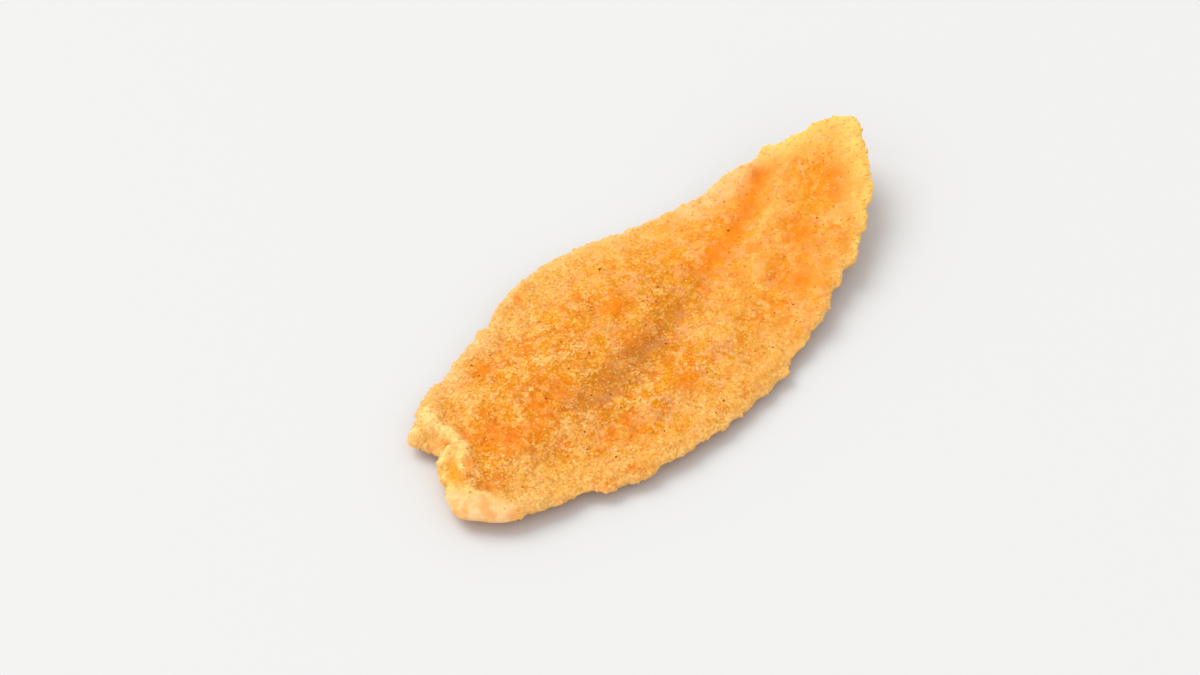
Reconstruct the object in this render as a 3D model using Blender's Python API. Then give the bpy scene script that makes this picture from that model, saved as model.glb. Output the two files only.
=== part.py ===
"""A fried fish fillet in a fine, grainy crust, lying on its flattened underside.

Metres, +Z up. +X runs from the broad head end to the narrow tail, which curls up off the table.
+Y is the back edge and -Y the belly edge. The origin is the middle of the outline, at table height.
"""

import random

import bmesh
import bpy
import numpy as np
from mathutils import Vector, noise
from mathutils.geometry import delaunay_2d_cdt

MM = 0.001

# Outline of the whole fillet seen from above, anticlockwise from the tip of the tail
OUTLINE = [
    (x * MM, y * MM)
    for x, y in (
        (90.6, 5.6), (80.9, 16.0), (64.5, 22.2), (51.2, 26.3), (22.7, 33.4),  # tail, back edge
        (-8.7, 42.0), (-37.5, 35.8), (-61.6, 30.8), (-76.2, 22.3),  # back edge to the head corner
        (-79.8, 9.8), (-88.2, -5.0), (-81.0, -16.8),  # the cut head end
        (-69.0, -22.3), (-59.6, -25.3), (-36.0, -35.0), (4.0, -37.0), (33.5, -30.5),  # belly edge
        (57.5, -22.4), (76.5, -12.0),  # belly side of the tail
    )
]

# Crust lumps and bites on the outline: x, y, half width, and how far each pushes the edge out
EDGE_LUMPS = [
    (x * MM, y * MM, half_width * MM, reach * MM)
    for x, y, half_width, reach in (
        (68.2, 22.4, 3.4, 3.3),  # lump where the mid-line groove meets the tail
        (62.8, 22.5, 2.6, -1.0),
        (77.6, 18.0, 2.2, -1.9),
        (86.8, 12.6, 3.6, 0.8),  # blunt far corner of the tail
        (86.5, -0.5, 3.0, -0.9),
        (55.5, 24.8, 3.0, 1.2),  # uneven back edge
        (46.0, 27.4, 3.2, -1.9),
        (10.0, 37.2, 7.0, 0.9),
        (-79.2, 20.9, 2.4, 2.9),  # corner lump of the head end
        (-78.8, 12.6, 3.6, -2.0),  # bite below that lump
        (-54.2, -28.6, 2.9, 2.0),  # loose flap of crust on the belly edge
        (-60.0, -25.8, 2.0, -0.8),
        (-49.3, -30.6, 1.6, -0.5),
        (-44.3, -33.0, 3.6, 1.4),
        (87.5, 2.5, 2.0, -0.7),  # crumbly steps down the belly side of the tail
        (76.5, -12.5, 2.2, 0.9),
        (69.5, -17.0, 2.2, -0.8),
        (63.0, -20.5, 2.4, 1.1),
        (53.3, -24.0, 2.6, 1.2),
        (47.2, -26.0, 2.8, -1.6),
        (42.8, -27.0, 2.0, 0.7),
        (16.0, -37.0, 2.4, -0.8),
    )
]
CRUMB_REACHES = ((5.2 * MM, 0.85 * MM), (2.4 * MM, 0.55 * MM))  # size, and push either way

# Thickness along the mid-line, and how much of it the long edges keep
HEAD_X = -89.5 * MM
HEAD_THICKNESS = 8.0 * MM
THICKEST_X = -15.0 * MM
THICKNESS = 9.2 * MM
TAIL_X = 89.5 * MM
TAIL_THICKNESS = 5.6 * MM
EDGE_SHARE = 0.37
EDGE_TAPER = 24.0 * MM
HEAD_END_X = (-84.5 * MM, -62.5 * MM)  # the thick head end gives way to thin edges between these
RIM_SHARE = 0.42  # height of the rim's outermost line, as a share of the thickness there
HEAD_RIM_SHARE = 0.36

# Shoulders: how far in from the edge the top and the underside round over
SHOULDER = 3.6 * MM
BELLY_SHOULDER = 4.4 * MM
BELLY_Y = (-1.0 * MM, -27.0 * MM)  # the belly shoulder grows between these, from the middle outwards
BELLY_X = (45.0 * MM, 5.0 * MM)  # and between these, from the tail towards the head
HEAD_SHOULDER = 9.5 * MM
HEAD_SHOULDER_X = (-62.5 * MM, -80.5 * MM)
UNDER_SHOULDER = 5.0 * MM
BEAD_HEIGHT = 0.6 * MM  # raised line of crust along the top of the belly and head shoulders
BEAD_HALF_WIDTH = 2.4 * MM
BEAD_LUMP_SIZE = 11.0 * MM
BEAD_LUMP_SHARE = 0.7

# Curl of the whole fillet off the table
TAIL_LIFT = 14.2 * MM
TAIL_LIFT_START = 14.5 * MM
TAIL_LIFT_END = 84.5 * MM
HEAD_LIFT = 0.9 * MM
HEAD_LIFT_START = 48.0 * MM
HEAD_LIFT_END = 90.0 * MM
RIM_RISE = 3.3 * MM  # mean height of the long edges off the table
RIM_WAVE = 2.4 * MM  # and how far they wave up and down from it
HEAD_RISE_SHARE = 0.3
RIM_WAVE_SIZE = 34.0 * MM
RIM_RISE_WIDTH = 20.0 * MM
SETTLE = 0.7 * MM  # how far the soft underside is pressed flat

# Groove along the fillet's mid-line: y = GROOVE_Y + GROOVE_SLOPE x + GROOVE_BEND x^2
GROOVE_Y = -6.35 * MM
GROOVE_SLOPE = 0.225
GROOVE_BEND = 2.0  # per metre
TROUGH_DEPTH = 1.0 * MM  # broad and shallow in the middle of the fillet
TROUGH_HALF_WIDTH = 9.5 * MM
CREASE_DEPTH = 2.3 * MM  # narrow and deep in the tail
CREASE_HALF_WIDTH = 4.2 * MM
CREASE_START = 2.0 * MM
CREASE_FULL = 34.0 * MM
FOLD_HEIGHT = 0.9 * MM  # raised fold on the belly side of the crease
FOLD_OFFSET = 1.7  # crease half widths from the crease's bottom
UNDER_FOLLOW = 0.9  # share of the crease and its fold that shows underneath as well

# Relief of the crust: wavelength, height on the top, height underneath
RELIEF = (
    (31.0 * MM, 1.0 * MM, 0.5 * MM),
    (13.0 * MM, 0.55 * MM, 0.35 * MM),
    (6.0 * MM, 0.42 * MM, 0.3 * MM),
    (3.9 * MM, 0.25 * MM, 0.15 * MM),
)
RIM_CRAG_SIZE = 4.2 * MM
RIM_CRAG_HEIGHT = 0.55 * MM
RIM_CRAG_WIDTH = 8.0 * MM

# Spacing of the mesh
RIM_SPACING = 2.1 * MM
RIM_INSETS = (0.7 * MM, 2.1 * MM)
TOP_SPACING = 1.95 * MM
UNDER_SPACING = 3.0 * MM
JITTER = 0.12  # share of the spacing
CLOSEST = 0.45  # share of the rim spacing between two points of an inset ring
SEED = 41

CRUST_COLOUR = (0.83, 0.36, 0.065, 1.0)
CRUST_ROUGHNESS = 0.6


def clear_scene():
    for obj in list(bpy.data.objects):
        bpy.data.objects.remove(obj, do_unlink=True)


def ramp(value, start, end):
    """0 at start and before it, 1 at end and beyond, with a smooth rise between them."""
    share = min(1.0, max(0.0, (value - start) / (end - start)))
    return share * share * (3.0 - 2.0 * share)


def bumps(x, y, size, layer):
    """Smooth noise from about -1 to 1 over the fillet's plan. Each layer has its own pattern."""
    return noise.noise(Vector((x / size, y / size, SEED + 7.3 * layer)))


# Outline


def closed_spline(knots, steps=16):
    """Points along a closed Catmull-Rom curve through the knots."""
    points = []
    for i in range(len(knots)):
        a, b, c, d = (Vector(knots[(i + k) % len(knots)]) for k in (-1, 0, 1, 2))
        for step in range(steps):
            t = step / steps
            bend = 2.0 * a - 5.0 * b + 4.0 * c - d
            twist = 3.0 * b - a - 3.0 * c + d
            points.append(0.5 * (2.0 * b + (c - a) * t + bend * t**2 + twist * t**3))
    return np.array(points)


def evenly_spaced(loop, spacing):
    """The closed loop again, as points the same distance apart."""
    closed = np.vstack([loop, loop[:1]])
    along = np.concatenate([[0.0], np.cumsum(np.linalg.norm(np.diff(closed, axis=0), axis=1))])
    count = round(along[-1] / spacing)
    places = np.arange(count) * along[-1] / count
    return np.column_stack([np.interp(places, along, closed[:, axis]) for axis in (0, 1)])


def outward(loop):
    """The outward direction at each point of an anticlockwise loop."""
    tangent = np.roll(loop, -1, axis=0) - np.roll(loop, 1, axis=0)
    normal = np.column_stack([tangent[:, 1], -tangent[:, 0]])
    return normal / np.linalg.norm(normal, axis=1, keepdims=True)


def edge_push(x, y):
    """How far lumps, bites and crumbs push the outline out at a point."""
    push = 0.0
    for lump_x, lump_y, half_width, reach in EDGE_LUMPS:
        away = ((x - lump_x) ** 2 + (y - lump_y) ** 2) / half_width**2
        push += reach * np.exp(-away)
    for layer, (size, reach) in enumerate(CRUMB_REACHES):
        push += reach * bumps(x, y, size, layer)
    return push


def crumbly_outline():
    loop = evenly_spaced(closed_spline(OUTLINE), RIM_SPACING)
    push = np.array([edge_push(x, y) for x, y in loop])
    return evenly_spaced(loop + outward(loop) * push[:, None], RIM_SPACING)


def edge_distance(points, loop):
    """Distance from each point to the outline."""
    step = np.roll(loop, -1, axis=0) - loop
    offset = points[:, None, :] - loop[None, :, :]
    share = (offset * step).sum(axis=2) / (step * step).sum(axis=1)
    nearest = offset - np.clip(share, 0.0, 1.0)[:, :, None] * step
    return np.linalg.norm(nearest, axis=2).min(axis=1)


def inside(points, loop):
    """Whether each point lies inside the outline, by counting the edges to its right."""
    ahead = np.roll(loop, -1, axis=0)
    x, y = points[:, 0:1], points[:, 1:2]
    spans = (loop[:, 1] > y) != (ahead[:, 1] > y)
    rise = np.where(ahead[:, 1] == loop[:, 1], 1.0, ahead[:, 1] - loop[:, 1])
    crossing = loop[:, 0] + (y - loop[:, 1]) / rise * (ahead[:, 0] - loop[:, 0])
    return (spans & (x < crossing)).sum(axis=1) % 2 == 1


# Heights


def long_edges(x):
    """0 at the cut head end and 1 along the rest of the outline."""
    return ramp(x, *HEAD_END_X)


def thickness(x, edge):
    end_x, end = (HEAD_X, HEAD_THICKNESS) if x < THICKEST_X else (TAIL_X, TAIL_THICKNESS)
    middle = THICKNESS - (THICKNESS - end) * ((x - THICKEST_X) / (end_x - THICKEST_X)) ** 2
    thinned = long_edges(x) * (1.0 - ramp(edge, 0.0, EDGE_TAPER))
    return middle * (1.0 - (1.0 - EDGE_SHARE) * thinned)


def under_height(x, y, edge):
    """Height of the underside above the table, before its rim rounds over."""
    lift = TAIL_LIFT * max(0.0, (x - TAIL_LIFT_START) / (TAIL_LIFT_END - TAIL_LIFT_START)) ** 2
    lift += HEAD_LIFT * max(0.0, (-x - HEAD_LIFT_START) / (HEAD_LIFT_END - HEAD_LIFT_START)) ** 2
    rise = RIM_RISE + RIM_WAVE * bumps(x, y, RIM_WAVE_SIZE, 11)
    rise *= HEAD_RISE_SHARE + (1.0 - HEAD_RISE_SHARE) * long_edges(x)
    rise *= 1.0 - ramp(edge, 0.0, RIM_RISE_WIDTH)
    relief = sum(under * bumps(x, y, size, 20 + i) for i, (size, _, under) in enumerate(RELIEF))
    return max(0.0, lift + rise + relief + groove_below(x, y) - SETTLE)


def groove(x, y):
    """Height that the mid-line groove and the fold beside it add to the top, mostly negative."""
    crease = ramp(x, CREASE_START, CREASE_FULL)
    half_width = TROUGH_HALF_WIDTH + (CREASE_HALF_WIDTH - TROUGH_HALF_WIDTH) * crease
    depth = TROUGH_DEPTH + (CREASE_DEPTH - TROUGH_DEPTH) * crease
    away = (y - GROOVE_Y - GROOVE_SLOPE * x - GROOVE_BEND * x * x) / half_width
    fold = FOLD_HEIGHT * crease * np.exp(-((away + FOLD_OFFSET) ** 2))
    return fold - depth * np.exp(-away * away)


def groove_below(x, y):
    """The part of the groove's height that the underside follows, in the folded tail."""
    return UNDER_FOLLOW * ramp(x, CREASE_START, CREASE_FULL) * groove(x, y)


def shoulder(x, y, edge):
    """How far in from the edge the top rounds over, and the height of the bead there."""
    belly = ramp(y, *BELLY_Y) * ramp(x, *BELLY_X)
    head = ramp(x, *HEAD_SHOULDER_X)
    width = SHOULDER + max((BELLY_SHOULDER - SHOULDER) * belly, (HEAD_SHOULDER - SHOULDER) * head)
    away = (edge - width) / BEAD_HALF_WIDTH
    lumps = 1.0 + BEAD_LUMP_SHARE * bumps(x, y, BEAD_LUMP_SIZE, 12)
    return width, BEAD_HEIGHT * max(belly, head) * lumps * np.exp(-away * away)


def rounding(edge, width):
    """Quarter-ellipse profile: 0 at the edge and 1 from width inwards."""
    share = min(1.0, edge / width)
    return np.sqrt(1.0 - (1.0 - share) ** 2)


def rim_height(x, y):
    share = HEAD_RIM_SHARE + (RIM_SHARE - HEAD_RIM_SHARE) * long_edges(x)
    return under_height(x, y, 0.0) + share * thickness(x, 0.0)


def top_point(x, y, edge):
    relief = sum(top * bumps(x, y, size, 30 + i) for i, (size, top, _) in enumerate(RELIEF))
    crag = RIM_CRAG_HEIGHT * bumps(x, y, RIM_CRAG_SIZE, 40)
    relief += crag * (1.0 - ramp(edge, 0.0, RIM_CRAG_WIDTH))
    width, bead = shoulder(x, y, edge)
    dip = groove(x, y) - groove_below(x, y)
    full = under_height(x, y, edge) + thickness(x, edge) + relief + dip + bead
    rim = rim_height(x, y)
    return (x, y, rim + (full - rim) * rounding(edge, width))


def under_point(x, y, edge):
    rim = rim_height(x, y)
    full = under_height(x, y, edge)
    share = min(1.0, edge / UNDER_SHOULDER)
    return (x, y, rim + (full - rim) * np.sin(share * np.pi / 2.0))


# Mesh


def inset_ring(loop, inset):
    """The outline moved inwards, without the points that a notch would bring too close."""
    ring = loop - outward(loop) * inset
    clear = edge_distance(ring, loop) > 0.9 * inset
    kept = []
    for point in ring[clear & inside(ring, loop)]:
        if not kept or np.linalg.norm(point - kept[-1]) > CLOSEST * RIM_SPACING:
            kept.append(point)
    return np.array(kept)


def inner_lattice(loop, spacing, clearance):
    """Points on a slightly uneven triangular lattice inside the outline."""
    draw = random.Random(SEED)
    low, high = loop.min(axis=0), loop.max(axis=0)
    row_height = spacing * np.sqrt(3.0) / 2.0
    points = []
    for row in range(int((high[1] - low[1]) / row_height) + 1):
        for column in range(int((high[0] - low[0]) / spacing) + 1):
            shift_x = draw.uniform(-JITTER, JITTER) * spacing
            shift_y = draw.uniform(-JITTER, JITTER) * spacing
            x = low[0] + (column + 0.5 * (row % 2)) * spacing + shift_x
            y = low[1] + row * row_height + shift_y
            points.append((x, y))
    points = np.array(points)
    points = points[inside(points, loop)]
    return points[edge_distance(points, loop) > clearance]


def face_triangles(loop, spacing):
    """Plan points and triangles that fill the outline. The outline's own points come first."""
    rings = [inset_ring(loop, inset) for inset in RIM_INSETS]
    lattice = inner_lattice(loop, spacing, RIM_INSETS[-1] + 0.6 * spacing)
    plan = np.vstack([loop, *rings, lattice])
    border = [(i, (i + 1) % len(loop)) for i in range(len(loop))]
    filled = delaunay_2d_cdt([Vector(p) for p in plan], border, [], 1, 1e-7)
    plan_points = np.array(filled[0])
    return plan_points, filled[2]


def add_face(mesh, loop, rim_verts, spacing, point_at, flip):
    """Adds the top or the underside to the mesh, sewn to the rim's vertices."""
    plan, triangles = face_triangles(loop, spacing)
    edges = edge_distance(plan, loop)
    verts = list(rim_verts)
    for (x, y), edge in zip(plan[len(loop):], edges[len(loop):]):
        verts.append(mesh.verts.new(point_at(x, y, edge)))
    for triangle in triangles:
        corners = [verts[i] for i in triangle]
        mesh.faces.new(reversed(corners) if flip else corners)


def add_fillet(name, material):
    loop = crumbly_outline()
    loop -= (loop.min(axis=0) + loop.max(axis=0)) / 2.0
    mesh = bmesh.new()
    rim_verts = [mesh.verts.new((x, y, rim_height(x, y))) for x, y in loop]
    add_face(mesh, loop, rim_verts, TOP_SPACING, top_point, flip=False)
    add_face(mesh, loop, rim_verts, UNDER_SPACING, under_point, flip=True)
    bmesh.ops.recalc_face_normals(mesh, faces=mesh.faces)
    data = bpy.data.meshes.new(name)
    mesh.to_mesh(data)
    mesh.free()
    data.shade_smooth()
    data.materials.append(material)
    fillet = bpy.data.objects.new(name, data)
    bpy.context.scene.collection.objects.link(fillet)
    return fillet


def crust_material():
    material = bpy.data.materials.new("golden_crust")
    material.use_nodes = True
    shader = material.node_tree.nodes["Principled BSDF"]
    shader.inputs["Base Color"].default_value = CRUST_COLOUR
    shader.inputs["Roughness"].default_value = CRUST_ROUGHNESS
    shader.inputs["Metallic"].default_value = 0.0
    return material


clear_scene()
add_fillet("fillet", crust_material())
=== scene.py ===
"""Looks of a fried fish fillet: a lumpy golden crust, its grains, its crumbs and its pepper specks.

Metres, in the fillet's own frame: +X from the cut head end to the tail, +Y to the back edge, +Z up.
"""

import math

import bmesh
import bpy
import numpy as np
from mathutils import Matrix, Vector, kdtree, noise


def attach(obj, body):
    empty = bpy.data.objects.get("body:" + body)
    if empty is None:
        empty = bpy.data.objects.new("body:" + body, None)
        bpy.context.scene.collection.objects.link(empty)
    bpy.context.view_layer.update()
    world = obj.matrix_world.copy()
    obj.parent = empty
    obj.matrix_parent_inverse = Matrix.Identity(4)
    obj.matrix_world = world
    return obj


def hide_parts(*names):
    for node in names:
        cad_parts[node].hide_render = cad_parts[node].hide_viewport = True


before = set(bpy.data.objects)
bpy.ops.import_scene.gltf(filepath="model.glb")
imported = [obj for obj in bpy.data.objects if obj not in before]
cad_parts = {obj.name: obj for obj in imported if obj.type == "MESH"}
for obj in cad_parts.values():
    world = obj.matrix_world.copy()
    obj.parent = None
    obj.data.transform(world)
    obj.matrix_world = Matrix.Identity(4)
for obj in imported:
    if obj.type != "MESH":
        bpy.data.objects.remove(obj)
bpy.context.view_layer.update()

MM = 0.001
SEED = 23

# Camera, at the photo's view of the fillet
CAMERA_PLACE = Vector((-341.2, -294.1, 479.3)) * MM
CAMERA_AZIMUTH = math.radians(-47.0)
CAMERA_ELEVATION = math.radians(47.0)
CAMERA_LENS = 70.0

# Soft lights: how far each stands to the camera's right, away from it and up, its strength and its angle
SUNS = {
    "key_light": (-0.65, 0.45, 1.1, 1.66, 42.0),
    "fill_light": (-0.3, -0.85, 0.6, 0.55, 90.0),
}
SKY_STRENGTH = 0.8
FLOOR_SIZE = 6.0

# Crust mesh
VOXEL = 0.514 * MM
SMOOTH_ROUNDS = 8
LEAST_TILT = 0.1  # how far up or down a face has to look to count as top or underside
TABLE_GAP = 0.3 * MM  # room left under the crust for the grains it lies on

# Noise over the crust: the size of its patches in mm, and a number that sets each one apart
NOISES = {
    "broad_lumps": (9.0, 0),
    "lumps": (3.8, 1),
    "fine_lumps": (1.8, 2),
    "bead_gaps": (5.0, 3),
    "rim_width": (13.0, 4),
    "thin_grains": (6.0, 5),
    "speck_crowds": (11.0, 6),
    "nubs": (3.1, 9),
    "fine_nubs": (1.55, 10),
    "face_waves": (4.5, 12),
    "fold_waves": (2.0, 13),
    "bends_along": (4.0, 14),
    "bends_across": (4.0, 15),
}
# Domes over the crust: their size in mm, and such a number
DOMES = {"grain_domes": (1.15, 0), "fold_domes": (1.4, 16)}
DOME_REACH = 0.75  # how far a dome spreads from its middle, in sizes
# How high those that raise the crust make it, in mm
HEIGHTS = {
    "broad_lumps": 0.6,
    "lumps": 0.42,
    "fine_lumps": 0.22,
    "nubs": 0.7,
    "fine_nubs": 0.35,
    "face_waves": 0.4,
    "fold_waves": 0.45,
    "grain_domes": 0.1,
    "fold_domes": 0.3,
}
BEND_REACH = 1.1 * MM  # how far the drawn lines and spots are bent

# Widths in from the edge
RIM_WIDTH = 3.6 * MM
RIM_EXTRA = 3.9 * MM
WIDER_RIM = {"tail_band": 1.7, "head_band": 1.0, "back_band": 0.9}  # shares of the extra width
NEAR_RIM = (18.0 * MM, 4.0 * MM)  # the crust begins to pale, and is palest
CRUMB_BAND = (3.2 * MM, 1.2 * MM)  # crumbs begin, and are thickest
NUB_BAND = (4.5 * MM, 0.0)  # nubs begin, and are highest

# Zones of the crust: the axis, and where along it in mm each begins and is full
ZONES = {
    "tail_band": (0, 50.0, 68.0),
    "head_band": (0, -60.0, -72.0),
    "back_band": (1, 4.0, 14.0),
    "tail_nubs": (0, 60.0, 76.0),
    "head_nubs": (0, -64.0, -74.0),
    "head_crags": (0, -66.0, -76.0),
    "back_nubs": (1, 8.0, 16.0),
    "dull_middle": (0, 4.0, -14.0),
    "coarse": (0, 40.0, -20.0),
    "crisp": (0, -15.0, -50.0),
    "back": (1, 0.0, 12.0),
    "back_length": (0, 70.0, 58.0),
    "belly": (1, 0.0, -12.0),
    "belly_length": (0, 58.0, 42.0),
    "belly_crumbs": (1, 12.0, -4.0),
    "head_crumbs": (0, 10.0, -15.0),
    "cut_face": (0, -76.0, -81.5),
}

# Lines of tone on the crust, seen from above in mm: half width and knots. The crease and the dull trough
# are partly their own deeper colour and partly painted shade of their shaded flanks; the ridge is partly
# paler batter and partly painted highlight of its lit flank
TONE_LINES = {
    "crease": (3.6, ((63.5, 16.1), (58.3, 13.9), (47.7, 9.0), (37.7, 5.9), (28.4, 3.7), (19.5, 1.7))),
    "dull": (5.5, ((13.5, -1.1), (-1.6, -4.5), (-13.0, -6.5), (-23.8, -7.9), (-35.5, -8.7), (-42.0, -8.1))),
    "ridge": (4.2, ((67.5, 13.9), (55.4, 6.1), (42.1, -2.9), (30.9, -7.3), (17.7, -11.6), (-0.5, -15.7))),
}
# Round patches of tone: x, y and half width in mm. Among the pale patches some are painted highlight on rim
# crests, and some patches are painted shade: in the trough, in pits and under the lifted belly edge
TONE_SPOTS = {
    "orange": (
        (-70.4, 7.9, 2.6), (-65.9, 3.4, 5.5), (-61.5, -1.9, 5.5), (-55.4, -3.9, 4.0), (-49.1, 0.0, 4.0),
        (-42.3, 0.1, 4.6), (-81.3, -1.3, 2.2), (-77.9, -9.5, 2.4), (-77.7, 12.1, 2.2), (-37.0, -22.5, 4.8),
        (-42.5, -19.5, 3.6), (-49.4, 22.2, 4.0), (-14.5, -2.1, 4.0), (-8.9, 10.4, 4.5), (-55.3, -30.8, 2.6),
        (-45.0, -35.6, 2.8), (-16.1, -22.5, 4.0), (35.7, -20.0, 5.5), (48.0, -10.0, 6.0), (70.8, -4.0, 5.0),
        (66.0, -8.1, 4.0),
    ),
    # pale batter, partly painted highlight on the rim crests and the head nub
    "light": (
        (-66.1, -12.0, 6.0), (-48.6, -12.8, 5.0), (-51.0, -24.0, 4.5), (-5.1, 22.4, 4.0), (50.2, 0.9, 5.0),
        (-60.0, 17.9, 5.0), (-74.5, 7.9, 3.0), (-71.0, 17.2, 3.5), (-76.5, 15.5, 4.5), (-79.0, 18.5, 3.0),
        (-6.5, 31.5, 6.0), (-1.0, 29.5, 5.0), (-14.0, 30.5, 6.0), (-32.0, 28.0, 5.0), (-59.3, -25.1, 2.6),
        (-54.8, -27.5, 2.6), (-48.6, -30.2, 2.8), (22.5, 25.5, 4.5), (7.0, 31.0, 5.0), (-20.5, -29.1, 5.0),
        (11.5, -29.1, 5.0), (59.5, -15.1, 5.0),
    ),
    # painted shade in the trough's lower part
    "trough_shade": ((-28.0, -8.5, 4.5), (-37.5, -6.5, 3.0), (-20.5, -4.5, 3.0)),
    "rosy": (
        (36.0, 22.5, 4.5), (42.0, 21.5, 4.5), (48.0, 20.0, 4.5), (54.0, 19.0, 4.5), (66.0, 18.0, 3.5),
        (-56.0, 26.5, 4.0), (-43.0, 29.5, 4.0),
    ),
    "toast": ((-8.5, 8.9, 15.0), (-30.5, 6.9, 14.0), (11.5, 14.9, 10.0), (-48.5, 4.9, 10.0)),
    "bare": (
        (-36.8, -9.9, 1.6), (-35.0, -10.8, 1.9), (-32.8, -11.5, 1.7), (-15.3, -7.1, 1.3),
        (-13.0, -6.9, 1.6), (-11.1, -7.5, 1.4), (-8.2, -8.0, 1.3), (2.0, -4.7, 1.6),
    ),
    # painted shadow in the gap under the lifted belly edge and in its notches
    "painted_shadow": ((-51.6, -33.4, 1.6), (-58.9, -29.3, 1.3), (-53.2, -32.5, 1.1), (-60.9, -28.4, 1.1)),
    # painted shade in the pits and a hollow at the head end
    "pit_shade": (
        (-79.1, -3.6, 1.1), (-80.9, -7.9, 1.3), (-79.3, -10.1, 1.1), (-75.7, -11.9, 1.5), (-75.2, 9.8, 1.1),
    ),
}

# Folds of batter at the head end, seen from above in mm: half width, height, and knots
FOLDS = (
    (2.4, 1.15, ((-69.9, 21.9), (-71.9, 19.4), (-73.3, 16.7))),
    (1.9, 1.2, ((-73.3, 16.7), (-72.7, 13.5), (-72.4, 10.3), (-73.1, 7.3), (-74.6, 4.4))),
    (1.5, 1.1, ((-75.7, 7.3), (-77.9, 6.1), (-80.1, 5.1))),
    (1.1, 0.5, ((-74.6, 4.4), (-77.7, 1.5), (-79.1, -1.5))),
)
# Lobes of batter there: x, y, half width and height
LOBES = ((-73.3, 15.9, 2.4, 1.7), (-77.5, 18.5, 1.7, 1.0), (-77.5, 5.2, 1.7, 1.2), (-83.4, 2.3, 1.2, 0.9))
# Hollows there: x, y, half width and depth
HOLLOWS = ((-80.3, 1.9, 1.6, 0.9), (-81.9, 0.0, 1.7, 1.0), (-75.2, 9.8, 1.1, 0.8))
# Bead of batter between the grainy top and the smooth face of the cut head end
FACE_LINE = (
    (-86.1, 1.1), (-85.4, -1.7), (-84.8, -4.0), (-83.3, -6.5), (-82.3, -9.1), (-80.9, -11.0),
    (-79.2, -14.0), (-78.0, -16.1), (-76.5, -18.7), (-75.1, -21.3), (-73.1, -24.1),
)
FACE_BEAD = (1.3, 0.5)  # half width, height
FACE_RAMP = (-0.4 * MM, 1.6 * MM)  # the grains give way to the smooth face this far past the line
BESIDE_FOLD = 2.2  # half widths over which a fold's sides are darkened with painted shade


def colour(red, green, blue):
    """A linear colour from sRGB parts of 0 to 255."""
    parts = [part / 255.0 for part in (red, green, blue)]
    return tuple(p / 12.92 if p <= 0.04045 else ((p + 0.055) / 1.055) ** 2.4 for p in parts) + (1.0,)


# Tones of the batter, from brown through orange and gold to cream
# painted shadow under the lifted belly edge
PAINTED_SHADOW = colour(158, 80, 12)
DART = colour(172, 92, 4)
# painted shade in the pits
PIT_SHADE = colour(180, 90, 6)
# dull brown of the trough, partly painted shade
DULL = colour(184, 106, 24)
TOASTED = colour(190, 96, 0)
# painted shade on the underside
UNDERSIDE_SHADE = colour(196, 108, 16)
DEEP = colour(200, 104, 0)
BARE = colour(198, 134, 76)
# deeper orange of the crease, partly painted shade
CREASE = colour(231, 126, 0)
BURNT = colour(234, 128, 0)
ORANGE = colour(236, 136, 0)
SOFT_ORANGE = colour(228, 134, 34)
AMBER = colour(222, 139, 2)
GOLD = colour(231, 152, 12)
YOLK = colour(238, 162, 10)
BLUSH = colour(238, 169, 102)
PEACH = colour(240, 172, 98)
PALE = colour(241, 182, 92)
ROSE = colour(241, 190, 128)
AMBER_RIM = colour(247, 192, 112)
ROSY_RIM = colour(244, 192, 118)
YELLOW_RIM = colour(250, 205, 108)
MILKY = colour(242, 204, 150)
CREAM = colour(249, 208, 138)
# cream of the batter folds, with painted highlight on their crests
CREAM_CREST_HIGHLIGHT = colour(248, 210, 134)
PEPPER_DARK = colour(112, 52, 10)
PEPPER_LIGHT = colour(178, 92, 14)
FLOOR_TONE = colour(213, 213, 212)

# Patches all over the ground: tone, strength, size, where the noise begins and is full, and its shift
GROUND_PATCHES = (
    (BLUSH, 0.95, 4.6 * MM, (0.46, 0.57), 3.1),
    (BURNT, 0.95, 4.0 * MM, (0.51, 0.6), 4.7),
    (YOLK, 0.8, 4.4 * MM, (0.51, 0.6), 6.1),
)
# Marks that cover whatever is under them: the mask, how strong it is, and the tone. Apart from the yellow
# of the hollows they are painted shade: on the underside, in the pits, and a painted shadow under the
# lifted belly edge
MARKS = (("hollow", 0.9, YOLK), ("under", 0.6, UNDERSIDE_SHADE), ("pit_shade", 0.7, PIT_SHADE), ("painted_shadow", 0.7, PAINTED_SHADOW))

# Relief too fine for the mesh: the size of each kind's cells
GRAIN_CELL = 0.95 * MM
CURD_CELL = 2.3 * MM
DART_CELL = 0.5 * MM
CELL_BEND = 1.3  # how far cells are pushed out of round, in cells
CELL_FALL = 1.35  # how fast a cell falls off from its middle
BUMP_HEIGHT = 0.16 * MM
BUMP_STRENGTH = 0.5

SOFT_BATTER = {
    "Subsurface Weight": 0.5,
    "Subsurface Radius": (1.0, 0.38, 0.1),
    "Subsurface Scale": 1.5 * MM,
    "Specular IOR Level": 0.09,
}
SOFT_GRAIN = {
    "Subsurface Weight": 0.15,
    "Subsurface Radius": (1.0, 0.4, 0.12),
    "Subsurface Scale": 0.5 * MM,
    "Specular IOR Level": 0.09,
}


def grain_sizes(spacing, smallest, largest, sink, seed):
    """Values for a scatter's inputs, from sizes in mm."""
    sizes = {"Spacing": spacing, "Smallest": smallest, "Largest": largest, "Sink": sink}
    return {label: value * MM for label, value in sizes.items()} | {"Seed": seed}


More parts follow.
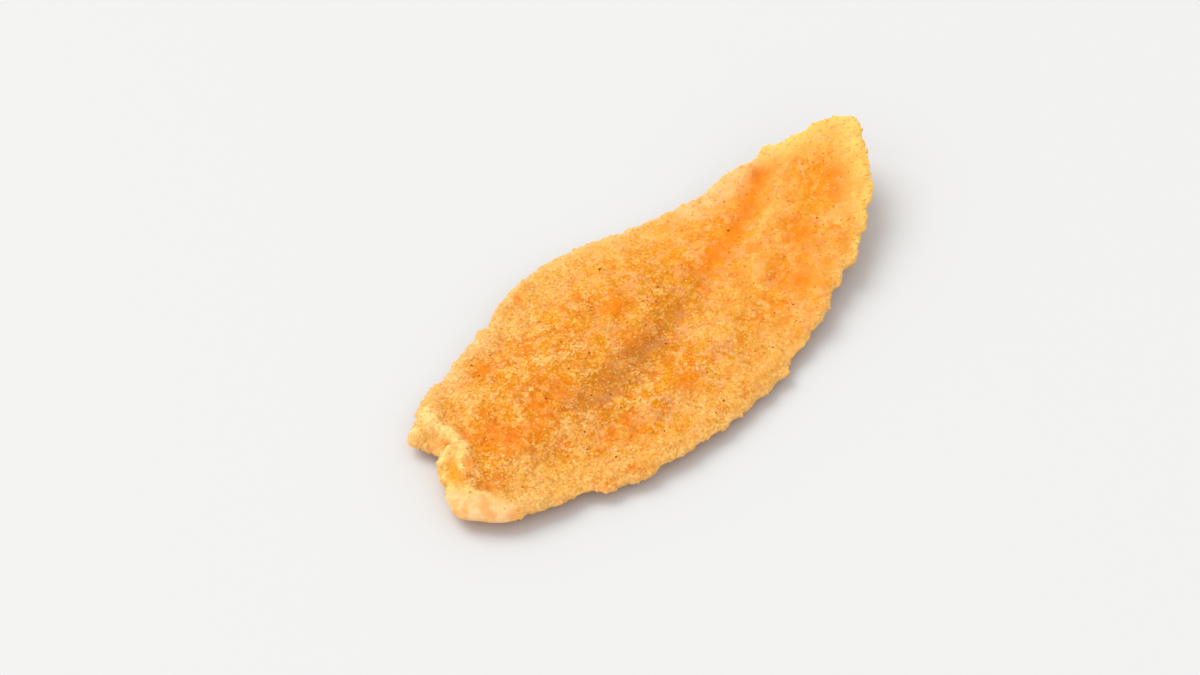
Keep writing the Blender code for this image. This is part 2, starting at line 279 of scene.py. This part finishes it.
# Grains: dark and light tone, share of the ground's tone, how far they pale at the rim, and sizes
GRAIN_KINDS = {
    "pale_grains": (PALE, CREAM, 0.4, 0.3, grain_sizes(1.5, 0.22, 0.44, 0.12, 3)),
    "gold_grains": (GOLD, PALE, 0.6, 0.45, grain_sizes(1.2, 0.24, 0.46, 0.16, 5)),
    "amber_grains": (DEEP, GOLD, 0.5, 0.75, grain_sizes(1.3, 0.26, 0.5, 0.2, 8)),
    "toasted_grains": (TOASTED, ORANGE, 0.4, 0.8, grain_sizes(2.4, 0.22, 0.42, 0.16, 13)),
}
CRUMB_TONES = (GOLD, CREAM, 0.45, 0.5)
CRUMB_SIZES = grain_sizes(1.35, 0.3, 0.72, 0.3, 17)
SPECK_SIZES = grain_sizes(5.0, 0.16, 0.42, 0.06, 21)
GRAIN_ROUNDS = 1  # subdivisions of a grain's ball, and of a crumb's
CRUMB_ROUNDS = 3
GRAIN_SHAPES = 4
GRAIN_STRETCH = (1.7, 1.4, 1.2)
DENSEST = 3.0e6  # grains on each square metre before their spacing thins them


# Node trees


class Wire:
    """An output socket. Arithmetic on it adds Math nodes to its tree."""

    def __init__(self, tree, socket):
        self.tree = tree
        self.socket = socket

    def math(self, operation, *values, clamp=False):
        sockets = dict(enumerate(values))
        return self.tree.node("ShaderNodeMath", {"operation": operation, "use_clamp": clamp}, sockets)

    def __add__(self, other):
        return self.math("ADD", self, other)

    __radd__ = __add__

    def __sub__(self, other):
        return self.math("SUBTRACT", self, other)

    def __rsub__(self, other):
        return self.math("SUBTRACT", other, self)

    def __mul__(self, other):
        return self.math("MULTIPLY", self, other)

    __rmul__ = __mul__

    def clamped(self):
        return self.math("ADD", self, 0.0, clamp=True)

    def between(self, low, high):
        """0 where this is at or below low, 1 where it is at or above high, smooth between."""
        sockets = {"Value": self, "From Min": low, "From Max": high}
        return self.tree.node("ShaderNodeMapRange", {"interpolation_type": "SMOOTHSTEP"}, sockets)

    def beside(self, name):
        """Another output of the same node."""
        return Wire(self.tree, self.tree.find(self.socket.node.outputs, name))


class Tree:
    """Adds nodes to a shader or Geometry Nodes tree."""

    def __init__(self, tree):
        self.tree = tree

    def node(self, kind, settings=None, sockets=None, output=0):
        """A new node. Its settings are set first, then its sockets, by name or number."""
        node = self.tree.nodes.new(kind)
        for name, value in (settings or {}).items():
            setattr(node, name, value)
        for name, value in (sockets or {}).items():
            socket = self.find(node.inputs, name)
            if isinstance(value, Wire):
                self.tree.links.new(value.socket, socket)
            else:
                socket.default_value = value
        return Wire(self, self.find(node.outputs, output))

    @staticmethod
    def find(sockets, name):
        """The socket in use with that name, or the one with that number."""
        if isinstance(name, int):
            return [socket for socket in sockets if socket.enabled][name]
        return next(socket for socket in sockets if socket.enabled and socket.name == name)

    def vector(self, operation, first, second):
        name = "Scale" if operation == "SCALE" else 1
        return self.node("ShaderNodeVectorMath", {"operation": operation}, {0: first, name: second})

    def mix(self, factor, first, second):
        settings = {"data_type": "RGBA", "blend_type": "MIX"}
        return self.node("ShaderNodeMix", settings, {"Factor": factor, "A": first, "B": second}, "Result")


class Finish(Tree):
    """A material's tree, with its patterns laid out in the piece's own coordinates."""

    def __init__(self, name):
        self.material = bpy.data.materials.new(name)
        self.material.use_nodes = True
        super().__init__(self.material.node_tree)
        self.tree.nodes.clear()
        self.place = self.node("ShaderNodeTexCoord", output="Object")

    def mask(self, name):
        return self.node("ShaderNodeAttribute", {"attribute_name": name}, output="Fac")

    def noise(self, size, detail=2.0, shift=0.0):
        """Noise of about 0 to 1 whose patches are about size across."""
        place = self.vector("ADD", self.place, (shift, shift, shift)) if shift else self.place
        sockets = {"Vector": place, "Scale": 1.0 / size, "Detail": detail, "Roughness": 0.55}
        return self.node("ShaderNodeTexNoise", {"normalize": True}, sockets, "Fac")

    def cells(self, size, shift=0.0):
        """Rounded cells about size across: 1 at their middles and 0 between, and a value for each."""
        pattern = {"Vector": self.place, "Scale": 0.9 / size, "Detail": 2.0}
        push = self.node("ShaderNodeTexNoise", {}, pattern, "Color")
        place = self.vector("ADD", self.place, self.vector("SCALE", push, CELL_BEND * size))
        place = self.vector("ADD", place, (shift, shift, 0.0))
        sockets = {"Vector": place, "Scale": 1.0 / size, "Randomness": 1.0}
        away = self.node("ShaderNodeTexVoronoi", {"feature": "F1"}, sockets, "Distance")
        return (1.0 - CELL_FALL * away * away).clamped(), away.beside("Color")

    def made(self, sockets):
        """The material, once a Principled shader with these sockets is joined to its output."""
        surface = self.node("ShaderNodeBsdfPrincipled", {}, sockets)
        output = self.tree.nodes.new("ShaderNodeOutputMaterial")
        self.tree.links.new(surface.socket, output.inputs["Surface"])
        return self.material


# Finishes


def ground_tone(batter):
    """The batter's gold, with its orange patches, its crease and dull trough deepened with painted shade,
    its ridge paled with painted highlight, and pale patches partly painted highlight.
    """
    ragged = batter.noise(7.0 * MM, 4.0, shift=0.9)
    tone = batter.mix(batter.noise(12.0 * MM, 3.0).between(0.42, 0.6), GOLD, AMBER)
    for patch, strength, size, band, shift in GROUND_PATCHES:
        tone = batter.mix(strength * batter.noise(size, 5.0, shift=shift).between(*band), tone, patch)
    tone = batter.mix((0.3 + 0.3 * batter.mask("crisp")) * ragged.between(0.52, 0.66), tone, DEEP)
    tone = batter.mix(0.4 * batter.mask("toast"), tone, AMBER)
    near_rim = (0.5 + 0.3 * batter.mask("belly")) * batter.mask("near_rim")
    tone = batter.mix(near_rim * ragged.between(0.3, 0.6), tone, PALE)
    # pale patches, partly painted highlight on the rim crests
    tone = batter.mix(0.8 * batter.mask("light") * ragged.between(0.25, 0.55), tone, PALE)
    # the ridge: partly paler batter, partly painted highlight of its lit flank
    tone = batter.mix(0.45 * batter.mask("ridge"), tone, PALE)
    tone = batter.mix(0.3 - 0.3 * batter.mask("coarse"), tone, SOFT_ORANGE)
    tone = batter.mix(0.8 * batter.mask("rosy"), tone, ROSE)
    tone = batter.mix(batter.mask("orange") * (0.45 + 0.75 * ragged).clamped(), tone, BURNT)
    # the crease: partly its own deeper orange, partly painted shade of its shaded flank
    tone = batter.mix(0.85 * batter.mask("crease"), tone, CREASE)
    # the dull trough: partly its own duller batter, partly painted shade of its shaded flank
    dull = batter.mask("dull") * batter.noise(5.0 * MM, 3.0, shift=1.1).between(0.2, 0.55)
    tone = batter.mix(0.9 * dull, tone, DULL)
    # painted shade in the trough's lower part
    tone = batter.mix(0.5 * batter.mask("trough_shade"), tone, DULL)
    return batter.mix(0.85 * batter.mask("bare"), tone, BARE)


def rim_tone(batter):
    """Amber cream along the belly, rosy cream along the back edge, and yellow cream at both ends."""
    tone = batter.mix(batter.mask("belly"), YELLOW_RIM, AMBER_RIM)
    return batter.mix(batter.mask("back"), tone, ROSY_RIM)


def grained(batter, tone, rough, edge, cells):
    """The tone with painted shade in the gaps between grains, pale curds and grains, and brown darts. They
    fade out on the smooth face.
    """
    (dome, cell), (curd, curd_cell), (dart, dart_cell) = cells
    coarse, crisp, dull = (batter.mask(name) for name in ("coarse", "crisp", "dull"))
    marked = batter.mask("crease") + 0.9 * batter.mask("orange") + batter.mask("bare")
    plain = 1.0 - 0.8 * (marked + 0.45 * dull + 0.4 * batter.mask("trough_shade")).clamped()
    pale_side = batter.noise(7.0 * MM, 3.0, shift=0.4).between(0.4, 0.62)
    # painted shade in the gaps between the grain domes
    gap_shade = (1.0 - dome) * (1.0 - 0.4 * edge) * rough
    tone = batter.mix((0.16 + 0.28 * coarse + 0.16 * crisp) * gap_shade, tone, DEEP)
    curds = curd.between(0.2, 0.75) * curd_cell.between(0.5, 0.62) * (0.35 + 0.65 * pale_side)
    tone = batter.mix((0.6 + 0.25 * crisp) * curds * plain * rough, tone, PALE)
    grains = dome.between(0.35, 0.8) * cell.between(0.35, 0.9) * (0.45 + 0.55 * pale_side)
    tone = batter.mix((0.22 + 0.4 * coarse + 0.1 * crisp) * grains * plain * rough, tone, CREAM)
    darts = dart.between(0.3, 0.8) * dart_cell.between(0.74, 0.8) * (1.0 - edge) * rough
    return batter.mix(0.42 * darts * (0.1 + 0.5 * coarse + 0.5 * dull).clamped(), tone, DART)


def crust_material():
    """The batter: soft orange ground set with paler grains and curds, pale at the rim."""
    batter = Finish("crust_batter")
    cells = (
        batter.cells(GRAIN_CELL),
        batter.cells(CURD_CELL, shift=0.6),
        batter.cells(DART_CELL, shift=0.2),
    )
    (dome, cell), (curd, _), (dart, _) = cells
    face = batter.mask("face")
    rough = 1.0 - face
    edge = (batter.mask("rim") * (0.5 + 0.9 * batter.noise(5.0 * MM, shift=0.5))).clamped()
    tone = batter.mix(0.9 * edge, ground_tone(batter), rim_tone(batter))
    tone = grained(batter, tone, rough, edge, cells)
    face_tone = batter.mix(batter.noise(4.5 * MM, 3.0, shift=2.0).between(0.4, 0.66), PEACH, MILKY)
    tone = batter.mix(0.9 * face, tone, face_tone)
    # painted shade on the sides of the folds
    tone = batter.mix(0.3 * batter.mask("fold_side") * rough, tone, ORANGE)
    # the folds: their pale batter, and painted highlight on their crests
    highlight_patches = batter.noise(2.2 * MM, 4.0, shift=1.7).between(0.35, 0.6)
    tone = batter.mix(batter.mask("fold") * (0.4 + 0.6 * highlight_patches), tone, CREAM_CREST_HIGHLIGHT)
    for name, strength, mark in MARKS:
        tone = batter.mix(strength * batter.mask(name), tone, mark)
    height = (dome + 0.35 * dart + 0.9 * curd) * (1.0 - 0.9 * face)
    height = height * (0.75 + 0.4 * batter.mask("coarse") + 0.35 * batter.mask("crisp"))
    raised = {"Height": height, "Strength": BUMP_STRENGTH, "Distance": BUMP_HEIGHT}
    bump = batter.node("ShaderNodeBump", {}, raised)
    return batter.made({"Base Color": tone, "Roughness": 0.4 + 0.2 * cell, "Normal": bump, **SOFT_BATTER})


def grain_material(name, dark, light, ground_share, rim_share):
    """Crust grains that run from dark to light, and paler towards the rim."""
    grain = Finish(name)
    tint = grain.mask("tint")
    tone = grain.mix(ground_share, grain.mix(tint, dark, light), ground_tone(grain))
    tone = grain.mix(rim_share * grain.mask("rim"), tone, rim_tone(grain))
    return grain.made({"Base Color": tone, "Roughness": 0.42 + 0.16 * tint, **SOFT_GRAIN})


def pepper_material():
    speck = Finish("pepper_black")
    tint = speck.mask("tint")
    tone = speck.mix(tint, PEPPER_DARK, PEPPER_LIGHT)
    return speck.made({"Base Color": tone, "Roughness": 0.5 + 0.2 * tint, "Specular IOR Level": 0.1})


def floor_material():
    return Finish("pale_table").made({"Base Color": FLOOR_TONE, "Roughness": 0.7})


# Meshes


def new_object(name, data):
    made = bpy.data.objects.new(name, data)
    bpy.context.scene.collection.objects.link(made)
    return made


def baked_mesh(host):
    """The object's mesh with its modifiers applied."""
    depsgraph = bpy.context.evaluated_depsgraph_get()
    evaluated = host.evaluated_get(depsgraph)
    return bpy.data.meshes.new_from_object(evaluated, preserve_all_data_layers=True, depsgraph=depsgraph)


def merged_copy(node):
    """The solid's mesh with its triangles joined."""
    mesh = node.data.copy()
    joined = bmesh.new()
    joined.from_mesh(mesh)
    bmesh.ops.remove_doubles(joined, verts=joined.verts, dist=0.001 * MM)
    joined.to_mesh(mesh)
    joined.free()
    mesh.materials.clear()
    return mesh


def rim_points(mesh):
    """Points along the fillet's outermost line: the edges between its top and its underside."""
    solid = bmesh.new()
    solid.from_mesh(mesh)
    points = []
    for edge in solid.edges:
        if len(edge.link_faces) != 2:
            continue
        first, second = (face.normal.z for face in edge.link_faces)
        if max(first, second) > LEAST_TILT and min(first, second) < -LEAST_TILT:
            a, b = (vert.co for vert in edge.verts)
            points.extend(a.lerp(b, share) for share in (0.0, 0.25, 0.5, 0.75))
    solid.free()
    return points


def fine_copy(mesh):
    """The solid again as an even mesh of small squares, with its facets smoothed away."""
    host = new_object("fine_crust", mesh)
    remesh = host.modifiers.new("remesh", "REMESH")
    remesh.mode = "VOXEL"
    remesh.voxel_size = VOXEL
    smooth = host.modifiers.new("smooth", "SMOOTH")
    smooth.factor = 0.5
    smooth.iterations = SMOOTH_ROUNDS
    fine = baked_mesh(host)
    bpy.data.objects.remove(host)
    return fine


def values_of(rows, layer):
    """A layer of vectors, such as the places of a mesh's vertices, as an array."""
    values = np.empty(len(rows) * 3)
    rows.foreach_get(layer, values)
    return values.reshape(-1, 3)


def store(mesh, name, values):
    layer = mesh.attributes.new(name, "FLOAT", "POINT")
    layer.data.foreach_set("value", values.astype(np.float32))


# Distances and patterns over the crust


def ramp(value, start, end):
    """0 at start and before it, 1 at end and beyond, with a smooth rise between them. Takes arrays too."""
    share = np.clip((value - start) / (end - start), 0.0, 1.0)
    return share * share * (3.0 - 2.0 * share)


def zone(places, name):
    axis, start, full = ZONES[name]
    return ramp(places[:, axis], start * MM, full * MM)


def bell(distance, half_width):
    return np.exp(-((distance / half_width) ** 2))


def plan_tree(points):
    tree = kdtree.KDTree(len(points))
    for i, point in enumerate(points):
        tree.insert((point[0], point[1], 0.0), i)
    tree.balance()
    return tree


def edge_distances(places, points):
    """Distance in plan from each place to the nearest of the points."""
    tree = plan_tree(points)
    return np.array([tree.find((x, y, 0.0))[2] for x, y, _ in places])


def spot_distances(places, x, y):
    """Distance in plan from each place to a point given in mm."""
    return np.hypot(places[:, 0] - x * MM, places[:, 1] - y * MM)


def line_samples(knots, spacing=0.25 * MM, soft_count=9):
    """Points along a line through the knots, given in mm, and the line's direction at each."""
    knots = np.array(knots) * MM
    along = np.concatenate([[0.0], np.cumsum(np.linalg.norm(np.diff(knots, axis=0), axis=1))])
    stations = np.arange(0.0, along[-1], spacing)
    points = np.column_stack([np.interp(stations, along, knots[:, axis]) for axis in (0, 1)])
    soft = np.ones(soft_count) / soft_count
    ends = np.pad(points, ((soft_count // 2, soft_count // 2), (0, 0)), mode="edge")
    points = np.column_stack([np.convolve(ends[:, axis], soft, "valid") for axis in (0, 1)])
    direction = np.gradient(points, axis=0)
    return points, direction / np.linalg.norm(direction, axis=1, keepdims=True)


def line_offsets(places, knots):
    """Each place's distance in plan from a line, and how far it is to the line's right."""
    points, direction = line_samples(knots)
    tree = plan_tree(points)
    found = [tree.find((x, y, 0.0)) for x, y, _ in places]
    nearest = np.array([index for _, index, _ in found])
    offset = places[:, :2] - points[nearest]
    ahead = direction[nearest]
    side = offset[:, 0] * ahead[:, 1] - offset[:, 1] * ahead[:, 0]
    return np.array([distance for _, _, distance in found]), side


def scaled_places(places, size, number):
    """The places with size in mm as the unit, moved to the stretch of pattern that the number gives."""
    shift = SEED + number
    offset = Vector((shift, -shift, 0.6 * shift))
    return [Vector(place) / (size * MM) + offset for place in places]


def noise_at(places, name):
    return np.array([noise.noise(place) for place in scaled_places(places, *NOISES[name])])


def domes_at(places, name):
    """Rounded cells, from 0 between them to 1 at their middles."""
    nearest = [noise.voronoi(place)[0][0] for place in scaled_places(places, *DOMES[name])]
    return 1.0 - np.clip(np.array(nearest) / DOME_REACH, 0.0, 1.0) ** 2


# Crust surface


def head_end(places, on_top):
    """Folds, hollows and smooth face of the cut head end: a push, and a mask for each."""
    shapes = [(line_offsets(places, knots)[0], width * MM, height * MM) for width, height, knots in FOLDS]
    for x, y, width, height in LOBES:
        shapes.append((spot_distances(places, x, y), width * MM, height * MM))
    folds, beside, push, hollow = np.zeros((4, len(places)))
    for distance, half_width, height in shapes:
        shape = bell(distance, half_width)
        folds = np.maximum(folds, shape)
        beside = np.maximum(beside, bell(distance, BESIDE_FOLD * half_width) - shape)
        push = np.maximum(push, height * shape)
    distance, side = line_offsets(places, FACE_LINE)
    near_end = zone(places, "cut_face")
    half_width, height = FACE_BEAD
    whole = ramp(noise_at(places, "bead_gaps"), -0.5, 0.3)
    bead = bell(distance, half_width * MM) * near_end * whole
    push = np.maximum(push, height * MM * bead)
    for x, y, half_width, depth in HOLLOWS:
        shape = bell(spot_distances(places, x, y), half_width * MM)
        hollow = np.maximum(hollow, shape)
        push -= depth * MM * shape
    # the sides of the folds carry painted shade, and the folds cream with painted highlight
    masks = {"fold": np.maximum(folds, 0.8 * bead), "fold_side": beside, "hollow": hollow}
    masks = {name: values * on_top for name, values in masks.items()}
    masks["face"] = ramp(side, *FACE_RAMP) * near_end
    return push * on_top, masks


def tone_masks(places, on_top):
    masks = {}
    for name, (half_width, knots) in TONE_LINES.items():
        masks[name] = bell(line_offsets(places, knots)[0], half_width * MM) * on_top
    for name, spots in TONE_SPOTS.items():
        shapes = [bell(spot_distances(places, x, y), half_width * MM) for x, y, half_width in spots]
        masks[name] = np.max(shapes, axis=0) * on_top
    masks["dull"] *= 0.5 + 0.5 * zone(places, "dull_middle")
    return masks


def zone_masks(places, normals, edge):
    """The pale rim, which is wider at both ends and along the back, and the broad zones of the crust."""
    wider = np.max([share * zone(places, name) for name, share in WIDER_RIM.items()], axis=0)
    band = (RIM_WIDTH + RIM_EXTRA * wider) * (1.0 + 0.7 * noise_at(places, "rim_width"))
    return {
        "rim": 1.0 - ramp(edge, 0.0, band),
        "near_rim": ramp(edge, *NEAR_RIM),
        # painted shade on the faces that look down
        "under": 1.0 - ramp(normals[:, 2], -0.75, -0.1),
        "coarse": zone(places, "coarse"),
        "crisp": zone(places, "crisp"),
        "back": zone(places, "back") * zone(places, "back_length"),
        "belly": zone(places, "belly") * zone(places, "belly_length"),
    }


def cover_masks(places, masks, edge, on_top):
    """How thickly grains, rim crumbs and pepper specks lie over the crust."""
    grainy = 1.0 - masks["face"]
    coarse = masks["coarse"]
    thin = ramp(noise_at(places, "thin_grains"), -0.1, 0.45)
    plain = 1.0 - 0.75 * np.maximum(masks["crease"], masks["orange"]) - 0.2 * masks["trough_shade"]
    clear = 1.0 - np.maximum(0.8 * masks["fold"], 0.95 * masks["bare"])
    cover = grainy * (0.3 + 0.7 * on_top) * plain * (1.0 - 0.6 * thin) * clear
    near_camera = np.maximum(zone(places, "belly_crumbs"), 0.7 * zone(places, "head_crumbs"))
    crowd = ramp(noise_at(places, "speck_crowds"), 0.0, 0.5)
    return {
        "cover": cover * (0.5 + 0.5 * coarse),
        "crumb_cover": ramp(edge, *CRUMB_BAND) * on_top * grainy * (0.2 + 0.8 * near_camera),
        "speck_cover": (0.12 + 0.88 * crowd) * grainy * (0.25 + 0.75 * coarse),
    }


def relief(places, masks, edge, grains):
    """Height of the lumps and grains, of the nubs along the edge, and of the waves at the head end."""
    rough = 1.0 - masks["face"]
    ends = np.maximum(zone(places, "tail_nubs"), zone(places, "head_nubs"))
    ragged = 1.0 - 0.6 * zone(places, "back_nubs") * (1.0 - ends) + 0.5 * zone(places, "head_crags")
    nubs = rough * ragged * ramp(edge, *NUB_BAND)
    folds = masks["fold"] + masks["fold_side"]
    shares = {
        "broad_lumps": rough,
        "lumps": rough,
        "fine_lumps": rough,
        "nubs": nubs,
        "fine_nubs": nubs,
        "face_waves": masks["face"],
        "fold_waves": folds,
    }
    height = sum(share * HEIGHTS[name] * noise_at(places, name) for name, share in shares.items())
    height += rough * HEIGHTS["grain_domes"] * grains
    height += folds * HEIGHTS["fold_domes"] * domes_at(places, "fold_domes")
    return height * MM


def roughened(mesh, rim_line):
    """Raises lumps, folds and grains on the fine mesh, and stores the masks that its finish reads."""
    places = values_of(mesh.vertices, "co")
    normals = values_of(mesh.vertex_normals, "vector")
    on_top = ramp(normals[:, 2], -0.2, 0.3)
    edge = edge_distances(places, rim_line)
    bends = [noise_at(places, name) for name in ("bends_along", "bends_across")]
    wavy = places + BEND_REACH * np.column_stack([*bends, np.zeros(len(places))])
    end_push, masks = head_end(wavy, on_top)
    masks |= tone_masks(wavy, on_top)
    masks |= zone_masks(places, normals, edge)
    masks |= cover_masks(places, masks, edge, on_top)
    grains = domes_at(places, "grain_domes")
    push = end_push + relief(places, masks, edge, grains)
    moved = places + normals * push[:, None]
    moved[:, 2] = np.maximum(moved[:, 2], TABLE_GAP * (0.6 + 0.4 * grains))
    mesh.vertices.foreach_set("co", moved.ravel())
    mesh.update()
    for name, values in masks.items():
        store(mesh, name, values)
    return mesh


# Grains


def misshapen_balls(nodes, rounds):
    """Instances of a few balls, each pushed out of round by its own stretch of noise."""
    shapes = nodes.node("GeometryNodeGeometryToInstance", output="Instances")
    for shape in range(GRAIN_SHAPES):
        ball = nodes.node("GeometryNodeMeshIcoSphere", {}, {"Radius": 1.0, "Subdivisions": rounds}, "Mesh")
        place = nodes.vector("ADD", nodes.node("GeometryNodeInputPosition"), (7.0 * shape, 3.0, 1.0))
        pattern = {"Vector": place, "Scale": 1.3}
        warp = nodes.node("ShaderNodeTexNoise", {"noise_dimensions": "3D"}, pattern, "Color")
        offset = nodes.vector("MULTIPLY", nodes.vector("SUBTRACT", warp, (0.5, 0.5, 0.5)), GRAIN_STRETCH)
        grain = nodes.node("GeometryNodeSetPosition", {}, {"Geometry": ball, "Offset": offset})
        grain = nodes.node("GeometryNodeSetShadeSmooth", {}, {"Geometry": grain, "Shade Smooth": True})
        nodes.tree.links.new(grain.socket, shapes.socket.node.inputs["Geometry"])
    return shapes


def grain_tree(name, material, cover_name, rounds):
    """Scatters misshapen grains over a surface. They keep its masks, and each gets its own tint."""
    group = bpy.data.node_groups.new(name, "GeometryNodeTree")
    group.interface.new_socket("Geometry", in_out="INPUT", socket_type="NodeSocketGeometry")
    for label in ("Spacing", "Smallest", "Largest", "Sink"):
        group.interface.new_socket(label, in_out="INPUT", socket_type="NodeSocketFloat")
    group.interface.new_socket("Seed", in_out="INPUT", socket_type="NodeSocketInt")
    group.interface.new_socket("Geometry", in_out="OUTPUT", socket_type="NodeSocketGeometry")
    nodes = Tree(group)
    inputs = group.nodes.new("NodeGroupInput").outputs
    given = {socket.name: Wire(nodes, socket) for socket in inputs if socket.name}
    seed = given["Seed"]

    cover = nodes.node("GeometryNodeInputNamedAttribute", {"data_type": "FLOAT"}, {"Name": cover_name})
    spread = {
        "Mesh": given["Geometry"],
        "Distance Min": given["Spacing"],
        "Density Max": DENSEST,
        "Density Factor": cover,
        "Seed": seed,
    }
    settings = {"distribute_method": "POISSON"}
    points = nodes.node("GeometryNodeDistributePointsOnFaces", settings, spread, "Points")
    inward = nodes.vector("SCALE", points.beside("Normal"), given["Sink"] * -1.0)
    sunk = nodes.node("GeometryNodeSetPosition", {}, {"Geometry": points, "Offset": inward})

    sizes = {"Min": given["Smallest"], "Max": given["Largest"], "Seed": seed}
    size = nodes.node("FunctionNodeRandomValue", {"data_type": "FLOAT"}, sizes, "Value")
    turns = {"Max": (math.tau, math.tau, math.tau), "Seed": seed}
    turn = nodes.node("FunctionNodeRandomValue", {"data_type": "FLOAT_VECTOR"}, turns, "Value")
    turned = nodes.node("FunctionNodeEulerToRotation", {}, {"Euler": turn})
    grain = {
        "Points": sunk,
        "Instance": misshapen_balls(nodes, rounds),
        "Pick Instance": True,
        "Rotation": turned,
        "Scale": size,
    }
    placed = nodes.node("GeometryNodeInstanceOnPoints", {}, grain)
    tint = nodes.node("FunctionNodeRandomValue", {"data_type": "FLOAT"}, {"Seed": seed + 1.0}, "Value")
    settings = {"data_type": "FLOAT", "domain": "INSTANCE"}
    sockets = {"Geometry": placed, "Name": "tint", "Value": tint}
    tinted = nodes.node("GeometryNodeStoreNamedAttribute", settings, sockets)
    real = nodes.node("GeometryNodeRealizeInstances", {}, {"Geometry": tinted})
    dressed = nodes.node("GeometryNodeSetMaterial", {}, {"Geometry": real, "Material": material})
    output = group.nodes.new("NodeGroupOutput")
    group.links.new(dressed.socket, output.inputs["Geometry"])
    return group


def scattered(name, surface, material, sizes, cover_name="cover", rounds=GRAIN_ROUNDS):
    """A piece of grains over the surface. Its mesh is kept above the table."""
    group = grain_tree(name + "_scatter", material, cover_name, rounds)
    host = new_object(name + "_host", surface)
    modifier = host.modifiers.new("scatter", "NODES")
    modifier.node_group = group
    for item in group.interface.items_tree:
        if item.name in sizes:
            modifier[item.identifier] = sizes[item.name]
    mesh = baked_mesh(host)
    bpy.data.objects.remove(host)
    places = values_of(mesh.vertices, "co")
    places[:, 2] = np.maximum(places[:, 2], 0.0)
    mesh.vertices.foreach_set("co", places.ravel())
    mesh.update()
    return new_object(name, mesh)


# Room, light and camera


def add_floor():
    bpy.ops.mesh.primitive_plane_add(size=FLOOR_SIZE)
    floor = bpy.context.object
    floor.name = "table"
    floor.data.materials.append(floor_material())


def camera_axes():
    """The camera's right, up and backward directions."""
    turn, lift = CAMERA_AZIMUTH, CAMERA_ELEVATION
    back = Vector((math.sin(turn) * math.cos(lift), -math.cos(turn) * math.cos(lift), math.sin(lift)))
    right = Vector((math.cos(turn), math.sin(turn), 0.0))
    return right, back.cross(right), back


def add_camera():
    data = bpy.data.cameras.new("photo_view")
    data.lens = CAMERA_LENS
    camera = new_object("photo_view", data)
    turned = Matrix(camera_axes()).transposed().to_4x4()
    camera.matrix_world = Matrix.Translation(CAMERA_PLACE) @ turned
    bpy.context.scene.camera = camera


def add_light():
    right, _, back = camera_axes()
    away = Vector((-back.x, -back.y, 0.0)).normalized()
    for name, (aside, beyond, above, strength, angle) in SUNS.items():
        data = bpy.data.lights.new(name, "SUN")
        data.energy = strength
        data.angle = math.radians(angle)
        sun = new_object(name, data)
        direction = aside * right + beyond * away + Vector((0.0, 0.0, above))
        sun.rotation_mode = "QUATERNION"
        sun.rotation_quaternion = direction.to_track_quat("Z", "Y")
    world = bpy.data.worlds.new("studio")
    bpy.context.scene.world = world
    world.use_nodes = True
    background = world.node_tree.nodes["Background"]
    background.inputs["Color"].default_value = (1.0, 1.0, 1.0, 1.0)
    background.inputs["Strength"].default_value = SKY_STRENGTH
    bpy.context.scene.view_settings.view_transform = "Standard"


# Assembly


def ride_on_fillet(piece):
    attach(piece, "root")


def main():
    solid = merged_copy(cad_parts["fillet"])
    rim_line = rim_points(solid)
    surface = roughened(fine_copy(solid), rim_line)
    for name, (*tones, sizes) in GRAIN_KINDS.items():
        ride_on_fillet(scattered(name, surface, grain_material(name, *tones), sizes))
    crumb_material = grain_material("rim_crumbs", *CRUMB_TONES)
    crumbs = scattered("rim_crumbs", surface, crumb_material, CRUMB_SIZES, "crumb_cover", CRUMB_ROUNDS)
    ride_on_fillet(crumbs)
    specks = scattered("pepper_specks", surface, pepper_material(), SPECK_SIZES, "speck_cover")
    ride_on_fillet(specks)
    crust = new_object("crust", surface)
    surface.materials.append(crust_material())
    surface.shade_smooth()
    ride_on_fillet(crust)
    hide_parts("fillet")
    add_floor()
    add_camera()
    add_light()


main()
